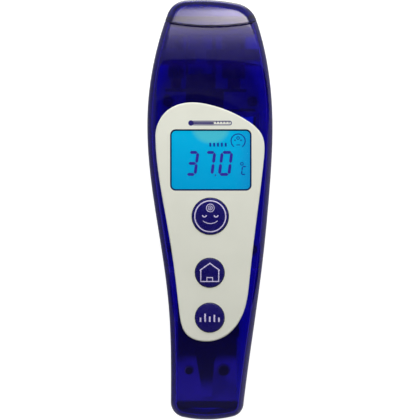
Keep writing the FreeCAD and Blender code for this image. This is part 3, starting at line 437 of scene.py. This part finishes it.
MATERIALS = {
    "cobalt_plastic": cobalt_plastic("cobalt_plastic", COVER_WALL, COVER_CLEAR),
    "ivory_panel": moulded("ivory_panel", linear(230, 231, 218), linear(225, 226, 213), 0.38),
    "navy_key": moulded("navy_key", linear(22, 12, 104), linear(18, 10, 94), 0.28, grain=0.01 * MM),
    "clear_window": clear_plastic("clear_window", 1.49, 0.0),
    "lcd_glass": lcd_glow(),
    "light_guide": moulded("light_guide", linear(200, 235, 245), linear(190, 230, 240), 0.4),
    "black_plastic": moulded("black_plastic", linear(12, 14, 14), linear(18, 20, 20), 0.6, specular=0.2),
    "white_plastic": moulded("white_plastic", linear(225, 226, 226), linear(215, 216, 216), 0.45),
    "circuit_board": circuit_board(),
    "chip_package": moulded("chip_package", linear(28, 28, 30), linear(36, 36, 38), 0.5),
    "tray_plastic": tray_plastic(),
    "seal_rubber": moulded("seal_rubber", linear(14, 14, 18), linear(22, 22, 26), 0.6),
    "silicone": moulded("silicone", linear(150, 155, 162), linear(140, 145, 152), 0.6),
    "polished_metal": metal("polished_metal", linear(225, 225, 222), 0.16),
    "steel": metal("steel", linear(190, 190, 192), 0.3),
    "gold_metal": metal("gold_metal", linear(220, 190, 120), 0.22),
    "lens": clear_plastic("lens", 1.52, 0.01),
    "lamp": moulded("lamp", linear(205, 60, 45), linear(195, 55, 40), 0.15),
    "cell_jacket": cell_jacket(),
}
for subpart in frame["record"]["subparts"]:
    piece = frame["nodes"][subpart["node"]]
    piece.data.materials.clear()
    piece.data.materials.append(MATERIALS[subpart["material_slot"]])
frame["nodes"]["protective_cap"].data.materials[0] = cobalt_plastic("cobalt_cap", CAP_WALL, CAP_CLEAR)


# ---- printed and raised marks ---------------------------------------------------------------
# Plan sizes and places of marks are in millimetres, angles in degrees.
RAY_START = 0.01               # metres over the body
LINE_STEP = 0.5
MARK_THICKNESS = 0.04
MARK_SINK = 0.04               # how far a mark runs into the surface under it
THIN_MARK = 0.03
SHARPEST_MITRE = 0.35


def top_of(node):
    """The height of a node's upper surface at a place, in metres."""
    mesh = frame["nodes"][node].data
    tree = BVHTree.FromPolygons([vertex.co for vertex in mesh.vertices],
                                [polygon.vertices[:] for polygon in mesh.polygons])

    def height(x, y):
        hit = tree.ray_cast(Vector((x, y, high.z + RAY_START)), Vector((0, 0, -1)))[0]
        return hit.z if hit else None
    return height


def divided(corners, closed):
    """The corners of a line and points between them, close enough to follow a crowned surface."""
    corners = [Vector(corner) for corner in corners]
    points = []
    for first, second in zip(corners, corners[1:] + corners[:1] * closed):
        count = math.ceil((second - first).length / LINE_STEP)
        points += [first.lerp(second, index / count) for index in range(count)]
    return points if closed else points + corners[-1:]


def on_circle(centre, radius, angle):
    return (centre[0] + radius * math.cos(angle), centre[1] + radius * math.sin(angle))


class Mark:
    """Thin raised shapes that follow a surface, gathered into one mesh, with places from a centre."""

    def __init__(self, centre, height, thickness=MARK_THICKNESS, sink=MARK_SINK):
        self.mesh = bmesh.new()
        self.centre = centre
        self.height = height
        self.thickness = thickness * MM
        self.sink = sink * MM

    def lift(self, point, rise):
        x = (self.centre[0] + point[0]) * MM
        y = (self.centre[1] + point[1]) * MM
        return self.mesh.verts.new((x, y, self.height(x, y) + rise))

    def strip(self, left, right, closed=False):
        """The closed band between two lines of points."""
        rows = [[self.lift(point, rise) for point in side]
                for side, rise in ((left, self.thickness), (right, self.thickness),
                                   (right, -self.sink), (left, -self.sink))]
        count = len(left)
        for start in range(count if closed else count - 1):
            end = (start + 1) % count
            for row, following in zip(rows, rows[1:] + rows[:1]):
                self.mesh.faces.new((row[start], following[start], following[end], row[end]))
        if not closed:
            self.mesh.faces.new([row[0] for row in reversed(rows)])
            self.mesh.faces.new([row[-1] for row in rows])

    def line(self, points, width, closed=False):
        """A stroke of a given width along points, with mitred corners."""
        points = divided(points, closed)
        left, right = [], []
        count = len(points)
        for index, point in enumerate(points):
            before = points[index - 1] if index or closed else None
            after = points[(index + 1) % count] if index < count - 1 or closed else None
            ways = [(second - first).normalized() for first, second in ((before, point), (point, after))
                    if first is not None and second is not None]
            sides = [Vector((-way.y, way.x)) for way in ways]
            mitre = sum(sides, Vector((0, 0))).normalized()
            reach = width / 2 / max(SHARPEST_MITRE, mitre.dot(sides[0]))
            left.append(point + reach * mitre)
            right.append(point - reach * mitre)
        self.strip(left, right, closed)

    def ring(self, centre, radius, width, start=0, end=360, step=10):
        closed = end - start >= 360
        count = max(2, round((end - start) / step))
        turn = math.radians(end - start) / count
        angles = [math.radians(start) + turn * index for index in range(count + (not closed))]
        self.line([on_circle(centre, radius, angle) for angle in angles], width, closed)

    def spot(self, centre, radius, count=20):
        """A filled disc."""
        self.fill([on_circle(centre, radius, 2 * math.pi * index / count) for index in range(count)])

    def fill(self, outline):
        top = [self.lift(point, self.thickness) for point in outline]
        bottom = [self.lift(point, -self.sink) for point in outline]
        self.mesh.faces.new(top)
        self.mesh.faces.new(bottom[::-1])
        count = len(outline)
        for start in range(count):
            end = (start + 1) % count
            self.mesh.faces.new((bottom[start], bottom[end], top[end], top[start]))

    def finish(self, name, material, body):
        bmesh.ops.recalc_face_normals(self.mesh, faces=self.mesh.faces)
        data = bpy.data.meshes.new(name)
        self.mesh.to_mesh(data)
        self.mesh.free()
        data.materials.append(material)
        piece = bpy.data.objects.new(name, data)
        bpy.context.scene.collection.objects.link(piece)
        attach(piece, body)


def rounded_outline(centre, size, radius, steps=8):
    """Points round a rectangle with rounded corners."""
    points = []
    for quarter, (side_x, side_y) in enumerate(((1, 1), (-1, 1), (-1, -1), (1, -1))):
        for index in range(steps + 1):
            angle = math.radians(90 * quarter + 90 * index / steps)
            bend = (centre[0] + side_x * (size[0] / 2 - radius),
                    centre[1] + side_y * (size[1] / 2 - radius))
            points.append(on_circle(bend, radius, angle))
    return points


NAVY_INK = printed("navy_ink", linear(30, 18, 110))
SEGMENT_INK = lit_segment("segment_ink", linear(50, 40, 150))
FAINT_INK = lit_segment("faint_ink", linear(22, 46, 148))
PALE_INK = printed("pale_ink", linear(214, 205, 238))
BORDER_INK = printed("border_ink", linear(4, 24, 84), 0.6, 0.15)
# Near black: the seal's lip together with painted shade in the cap's seam.
LIP_AND_SEAM_SHADE_INK = printed("lip_and_seam_shade_ink", linear(8, 4, 40), 0.8, 0.05)
BORDER_WIDTH = 0.6


def window_border():
    """The dark line printed round the window's edge."""
    centre = ((window_low.x + window_high.x) / 2 / MM, (window_low.y + window_high.y) / 2 / MM)
    size = ((window_high.x - window_low.x - 2 * WINDOW_FLANGE) / MM,
            (window_high.y - window_low.y - 2 * WINDOW_FLANGE) / MM)
    mark = Mark((0, 0), lambda x, y: window_high.z, THIN_MARK, THIN_MARK)
    outer = rounded_outline(centre, size, WINDOW_CORNER / MM)
    inner_size = (size[0] - 2 * BORDER_WIDTH, size[1] - 2 * BORDER_WIDTH)
    inner = rounded_outline(centre, inner_size, WINDOW_CORNER / MM - BORDER_WIDTH)
    mark.strip(outer, inner, closed=True)
    mark.finish("window_border", BORDER_INK, "housing")


SEGMENTS = {"a": ((0, 2), (1, 2)), "b": ((1, 2), (1, 1)), "c": ((1, 1), (1, 0)), "d": ((0, 0), (1, 0)),
            "e": ((0, 1), (0, 0)), "f": ((0, 2), (0, 1)), "g": ((0, 1), (1, 1))}
DIGITS = {"3": "abgcd", "7": "abc", "0": "abcdef", "C": "adef"}
SLANT = 0.13                   # sideways, for each unit upwards
DIGIT_GAP = 0.11               # between a segment and the next corner


def digit(mark, sign, corner, size, width, gap=DIGIT_GAP):
    """One slanted seven-segment digit, its lower left corner at a place."""
    for name in DIGITS[sign]:
        ends = []
        for column, row in SEGMENTS[name]:
            y = row * size[1] / 2
            ends.append(Vector((corner[0] + column * size[0] + SLANT * y, corner[1] + y)))
        way = (ends[1] - ends[0]).normalized()
        side = Vector((-way.y, way.x)) * width / 2
        start, end = ends[0] + way * gap, ends[1] - way * gap
        nose = way * width / 2
        mark.fill([start, start + nose + side, end - nose + side,
                   end, end - nose - side, start + nose - side])


READING = (("3", -8.6, 3.1), ("7", -2.4, 3.1), ("0", 3.45, 3.5))    # digit, left side, width
READING_BOTTOM = 12.9
READING_HEIGHT = 8.1
READING_STROKE = 1.1
READING_POINT = [(1.7, 12.3), (2.25, 12.3), (2.33, 12.9), (1.78, 12.9)]
FACE_CENTRE = (10.35, 25.2)
FACE_RADIUS = 2.6
FACE_STROKE = 0.4
FACE_TURN = (-55, 235)         # the face's outline is open at the bottom
BROW_CENTRE = (10.35, 26.3)
SMALL_RING_RADIUS = 0.5
SMALL_RING_STROKE = 0.3
SMALL_RING_STEP = 30
EYES = [(9.2, 25.5), (11.45, 25.5)]
EYE_RADIUS = 0.3
EYE_CORNERS = 10
MOUTH = [(9.7, 23.75), (11.1, 23.75)]
MOUTH_STROKE = 0.32
STATUS_COUNT = 5
STATUS_START = (-0.25, 23.85)
STATUS_PITCH = 1.42
STATUS_WIDTH = 0.7
STATUS_HEIGHT = 1.4
DEGREE_CENTRE = (11.75, 16.8)
UNIT_CORNER = (11.6, 12.9)
UNIT_SIZE = (1.4, 2.9)
UNIT_STROKE = 0.45
UNIT_GAP = 0.05


def display():
    """The reading, the face sign, the status bars and the unit, on the display's glass."""
    glass = top_of("lcd_cell")
    reading = Mark((0, 0), glass)
    for sign, left, width in READING:
        digit(reading, sign, (left, READING_BOTTOM), (width, READING_HEIGHT), READING_STROKE)
    reading.fill(READING_POINT)
    reading.finish("lcd_reading", SEGMENT_INK, "housing")
    signs = Mark((0, 0), glass)
    signs.ring(FACE_CENTRE, FACE_RADIUS, FACE_STROKE, *FACE_TURN)
    signs.ring(BROW_CENTRE, SMALL_RING_RADIUS, SMALL_RING_STROKE, step=SMALL_RING_STEP)
    for eye in EYES:
        signs.spot(eye, EYE_RADIUS, EYE_CORNERS)
    signs.line(MOUTH, MOUTH_STROKE)
    for index in range(STATUS_COUNT):
        left = STATUS_START[0] + STATUS_PITCH * index
        signs.line([(left, STATUS_START[1]), (left + STATUS_WIDTH, STATUS_START[1])], STATUS_HEIGHT)
    signs.ring(DEGREE_CENTRE, SMALL_RING_RADIUS, SMALL_RING_STROKE, step=SMALL_RING_STEP)
    digit(signs, "C", UNIT_CORNER, UNIT_SIZE, UNIT_STROKE, UNIT_GAP)
    signs.finish("lcd_signs", FAINT_INK, "housing")


# The thermometer sign, from its own centre: a bulb, a filled column, an outline open at the bulb, and ticks.
SIGN_CENTRE = (0, 31.8)
BULB_CENTRE = (-7.0, 0)
BULB_RADIUS = 1.0
BULB_CORNERS = 24
COLUMN = [(-6.3, 0), (1.4, 0)]
COLUMN_STROKE = 0.7
TUBE_TOP = [(-6.2, 0.68), (7.4, 0.68), (7.75, 0.48), (7.9, 0)]
TUBE_STROKE = 0.32
TICK_COUNT = 5
TICK_START_X = 2.4
TICK_PITCH = 1.15
TICK_Y = (0.6, -0.1)
TICK_STROKE = 0.3


def panel_sign():
    """A plain thermometer sign over the display."""
    mark = Mark(SIGN_CENTRE, top_of("face_panel"), THIN_MARK)
    mark.spot(BULB_CENTRE, BULB_RADIUS, BULB_CORNERS)
    mark.line(COLUMN, COLUMN_STROKE)
    mark.line(TUBE_TOP + [(x, -y) for x, y in TUBE_TOP[-2::-1]], TUBE_STROKE)
    for index in range(TICK_COUNT):
        x = TICK_START_X + TICK_PITCH * index
        mark.line([(x, y) for y in TICK_Y], TICK_STROKE)
    mark.finish("panel_sign", NAVY_INK, "housing")


def seal_lip_and_seam_shade():
    """A dark strip over the casing's edge along the cap's seam: the seal's lip, drawn dark as painted shade
    in the seam.
    """
    mark = Mark((0, 0), top_of("front_cover"), THIN_MARK)
    turns = [LIP_HALF_TURN * (2 * index / LIP_STEPS - 1) for index in range(LIP_STEPS + 1)]
    mark.line([on_circle(SEAM_CENTRE, LIP_RADIUS, math.radians(turn - 90)) for turn in turns], LIP_WIDTH)
    mark.finish("seal_lip_and_seam_shade", LIP_AND_SEAM_SHADE_INK, "housing")


def key_centre(node):
    key_low, key_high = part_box(node)
    return ((key_low.x + key_high.x) / 2 / MM, (key_low.y + key_high.y) / 2 / MM)


def key_mark(key):
    return Mark(key_centre(key), top_of(key))


# Rings and arcs of the measuring key's sign: centre, radius, stroke, start, end and step.
KEY_RINGS = [((0, 0), 5.7, 0.42, 0, 360, 5),
             ((0, 3.05), 1.45, 0.24, 0, 360, 15),
             ((0, 3.05), 0.75, 0.22, 0, 360, 20),
             ((-2.15, 0.45), 0.72, 0.42, 185, 355, 17),
             ((2.15, 0.45), 0.72, 0.42, 185, 355, 17),
             ((0, 1.3), 4.0, 0.28, 228, 312, 7)]
KEY_SPOT = ((0, 3.05), 0.28, 12)


def measure_sign():
    """A ring round a face with closed eyes, a smile, and small rings on its forehead."""
    mark = key_mark("measure_key")
    for ring in KEY_RINGS:
        mark.ring(*ring)
    mark.spot(*KEY_SPOT)
    mark.finish("measure_sign", PALE_INK, "measure_key")


HOUSE_LINES = [([(-3.72, 0.83), (0.05, 3.5), (3.72, 0.83)], 0.38),
               ([(-3.3, 1.0), (-3.3, -3.2), (3.3, -3.2), (3.3, 1.0)], 0.38),
               ([(-1.05, -3.2), (-1.05, -1.75), (1.05, -1.75), (1.05, -3.2)], 0.34)]


def home_sign():
    """A house: its roof, its walls and its door."""
    mark = key_mark("home_key")
    for points, stroke in HOUSE_LINES:
        mark.line(points, stroke)
    mark.finish("home_sign", PALE_INK, "home_key")


BAR_HEIGHTS = (1.6, 3.0, 2.0, 2.6, 1.6)
BAR_START = (-3.4, -1.55)
BAR_PITCH = 1.7
BAR_WIDTH = 0.6


def memory_sign():
    """A bar chart, for the stored readings."""
    mark = key_mark("memory_key")
    for index, rise in enumerate(BAR_HEIGHTS):
        x = BAR_START[0] + BAR_PITCH * index
        mark.line([(x, BAR_START[1]), (x, BAR_START[1] + rise)], BAR_WIDTH)
    mark.finish("memory_sign", PALE_INK, "memory_key")


window_border()
display()
panel_sign()
seal_lip_and_seam_shade()
measure_sign()
home_sign()
memory_sign()


# ---- stage, light and camera ---------------------------------------------------------------
# Half the width of the shade under the body, as a share of the widest, from the handle's end to the head's.
SHADE_STOPS = [(0.04, 0.0), (0.1, 0.58), (0.3, 0.62), (0.46, 0.8),
               (0.6, 0.95), (0.76, 0.95), (0.9, 0.7), (0.97, 0.0)]
SHADE_HALF_WIDTH = 22 * MM
SHADE_HALF_LENGTH = 80 * MM
SHADE_EDGE = 0.2               # of the half width, over which the shade comes in
FLOOR_GLOW = 0.93
SHADE_GLOW = 0.35
FLOOR_HALF_SIZE = 3.0
FLOOR_GAP = 0.1 * MM
FLOOR_COLOURS = (grey(0.28), grey(0.31))
FLOOR_MOTTLE_SCALE = 3.0
FLOOR_GLOSS = (0.85, 0.95, 40.0)
FLOOR_SPECULAR = 0.1


def floor():
    """A bright sheet of paper, shaded under the body."""
    mesh = bpy.data.meshes.new("floor")
    z = low.z - FLOOR_GAP
    corners = [(x * FLOOR_HALF_SIZE, y * FLOOR_HALF_SIZE, z) for x, y in ((-1, -1), (1, -1), (1, 1), (-1, 1))]
    mesh.from_pydata(corners, [], [(0, 1, 2, 3)])
    plane = bpy.data.objects.new("floor", mesh)
    bpy.context.scene.collection.objects.link(plane)
    shader = Shader("floor_paper")
    shader.mottle(*FLOOR_COLOURS, FLOOR_MOTTLE_SCALE)
    shader.rough(*FLOOR_GLOSS)
    along = shader.spread(shader.along("Y"), 0.0, 1.0, -SHADE_HALF_LENGTH, SHADE_HALF_LENGTH)
    width = shader.ramp(along, [(place, grey(level)) for place, level in SHADE_STOPS])
    across = shader.math("ABSOLUTE", shader.math("DIVIDE", shader.along("X"), SHADE_HALF_WIDTH), 0)
    inside = shader.math("SUBTRACT", width, across)
    glow = shader.spread(inside, FLOOR_GLOW, SHADE_GLOW, 0.0, SHADE_EDGE, smooth=True)
    shader.link(glow, shader.surface.inputs["Emission Strength"])
    shader.set(Specular_IOR_Level=FLOOR_SPECULAR, Emission_Color=grey(1))
    mesh.materials.append(shader.material)
    plane.visible_glossy = False


def level_ramp(tree, source, stops):
    """A grey colour ramp in a world's or a lamp's node tree, from (position, level) pairs."""
    node = tree.nodes.new("ShaderNodeValToRGB")
    set_stops(node.color_ramp, [(position, grey(level)) for position, level in stops])
    tree.links.new(source, node.inputs["Fac"])
    return node.outputs["Color"]


# The light that comes from a direction, as (part of the direction along one axis, level) pairs.
HEIGHT_LIGHT = [(0.0, 0.26), (0.5, 0.12), (0.85, 0.04), (0.96, 0.015), (0.999, 0.0)]
HEAD_LIGHT = [(0.06, 0.0), (0.24, 0.11), (0.376, 0.27), (0.463, 0.5), (0.59, 1.45),
              (0.69, 2.8), (0.76, 1.2), (0.86, 0.5), (0.93, 0.12), (1.0, 0.1)]
HEAD_MIDDLE = [(0.15, 1.0), (0.42, 0.05)]       # how much of it is left away from the middle
SIDE_LIGHT = [(0.35, 0.0), (0.55, 0.14), (0.85, 0.14), (0.95, 0.0)]
RIGHT_LIGHT = [(0.25, 0.0), (0.45, 0.15), (0.8, 0.2), (1.0, 0.5)]
TAIL_LIGHT = [(0.04, 0.0), (0.15, 0.06), (0.26, 0.14), (0.5, 0.07), (1.0, 0.0)]


def studio():
    """Soft light from all round: dark straight above, bright past the head's end, little at the sides."""
    world = bpy.data.worlds.new("studio")
    bpy.context.scene.world = world
    world.use_nodes = True
    tree = world.node_tree
    nodes, links = tree.nodes, tree.links
    place = nodes.new("ShaderNodeTexCoord")
    split = nodes.new("ShaderNodeSeparateXYZ")
    links.new(place.outputs["Generated"], split.inputs["Vector"])

    def ramp(source, stops):
        return level_ramp(tree, source, stops)

    def combine(operation, one, other):
        node = nodes.new("ShaderNodeVectorMath")
        node.operation = operation
        links.new(one, node.inputs[0])
        links.new(other, node.inputs[1])
        return node.outputs["Vector"]

    def number(operation, source, second=0.0):
        node = nodes.new("ShaderNodeMath")
        node.operation = operation
        node.inputs[1].default_value = second
        links.new(source, node.inputs[0])
        return node.outputs["Value"]

    sideways = number("ABSOLUTE", split.outputs["X"])
    head = combine("MULTIPLY", ramp(split.outputs["Y"], HEAD_LIGHT), ramp(sideways, HEAD_MIDDLE))
    total = ramp(split.outputs["Z"], HEIGHT_LIGHT)
    for part in (head, ramp(sideways, SIDE_LIGHT), ramp(split.outputs["X"], RIGHT_LIGHT),
                 ramp(number("MULTIPLY", split.outputs["Y"], -1.0), TAIL_LIGHT)):
        total = combine("ADD", total, part)
    links.new(total, nodes["Background"].inputs["Color"])


def soft_box(name, place, target, size, radiance):
    """A rectangular lamp turned to a target."""
    data = bpy.data.lights.new(name, "AREA")
    data.shape = "RECTANGLE"
    data.size, data.size_y = size
    data.energy = radiance * math.pi * size[0] * size[1]
    lamp = bpy.data.objects.new(name, data)
    lamp.location = place
    lamp.rotation_euler = (Vector(target) - Vector(place)).to_track_quat("-Z", "Y").to_euler()
    lamp.visible_camera = False
    bpy.context.scene.collection.objects.link(lamp)
    return lamp


def uneven(lamp, across, along):
    """Makes a lamp's light uneven over its face: grey stops across it and along it."""
    data = lamp.data
    data.use_nodes = True
    nodes, links = data.node_tree.nodes, data.node_tree.links
    split = nodes.new("ShaderNodeSeparateXYZ")
    links.new(nodes.new("ShaderNodeNewGeometry").outputs["Parametric"], split.inputs["Vector"])
    level = nodes.new("ShaderNodeVectorMath")
    level.operation = "MULTIPLY"
    for axis, socket, stops in (("X", 0, across), ("Y", 1, along)):
        links.new(level_ramp(data.node_tree, split.outputs[axis], stops), level.inputs[socket])
    links.new(level.outputs["Vector"], nodes["Emission"].inputs["Color"])


CAMERA_DISTANCE = 2.5          # metres over the seen plane
SEEN_PLANE = 0.020             # metres over the body's lowest point
SEEN_WIDTH = 155.4 * MM
SEEN_MIDDLE_Y = -0.2 * MM
SENSOR_WIDTH = 36.0
CAMERA_REACH = 10.0


def camera():
    """Straight down on the display, far off, with the object filling the frame from end to end."""
    data = bpy.data.cameras.new("camera")
    data.sensor_width = SENSOR_WIDTH
    data.lens = SENSOR_WIDTH * CAMERA_DISTANCE / SEEN_WIDTH
    data.clip_end = CAMERA_REACH
    eye = bpy.data.objects.new("camera", data)
    eye.location = (0.0, SEEN_MIDDLE_Y, low.z + SEEN_PLANE + CAMERA_DISTANCE)
    bpy.context.scene.collection.objects.link(eye)
    bpy.context.scene.camera = eye


# The lamps: sizes and places in metres. The head's lamp stands off its end, as far up as its elevation says.
LAMP_TARGET_Z = 0.03
HEAD_LAMP_TARGET = Vector((0, 0.07, LAMP_TARGET_Z))
HEAD_LAMP_DISTANCE = 0.33
HEAD_LAMP_ELEVATION = math.radians(32)
HEAD_LAMP_SIZE = (0.56, 0.14)
HEAD_LAMP_RADIANCE = 12.0
HEAD_LAMP_ACROSS = [(0.3, 0.0), (0.41, 1.0), (0.474, 1.0), (0.53, 0.2), (0.76, 0.2), (0.9, 0.0)]
HEAD_LAMP_ALONG = [(0.2, 0.0), (0.36, 1.0), (0.5, 1.0), (1.0, 0.6)]
FILL_PLACE = (0, 0.22, 0.20)
FILL_SIZE = (0.36, 0.36)
FILL_RADIANCE = 1.9


def lamps():
    """A bright, uneven lamp that the cap mirrors, and a wide one that nothing mirrors."""
    way = Vector((0, math.cos(HEAD_LAMP_ELEVATION), math.sin(HEAD_LAMP_ELEVATION)))
    head_box = soft_box("head_box", HEAD_LAMP_TARGET + HEAD_LAMP_DISTANCE * way, HEAD_LAMP_TARGET,
                        HEAD_LAMP_SIZE, HEAD_LAMP_RADIANCE)
    uneven(head_box, HEAD_LAMP_ACROSS, HEAD_LAMP_ALONG)
    fill_box = soft_box("fill_box", FILL_PLACE, (0, 0, LAMP_TARGET_Z), FILL_SIZE, FILL_RADIANCE)
    fill_box.visible_glossy = False


floor()
studio()
lamps()
camera()
bpy.context.scene.view_settings.view_transform = "Standard"
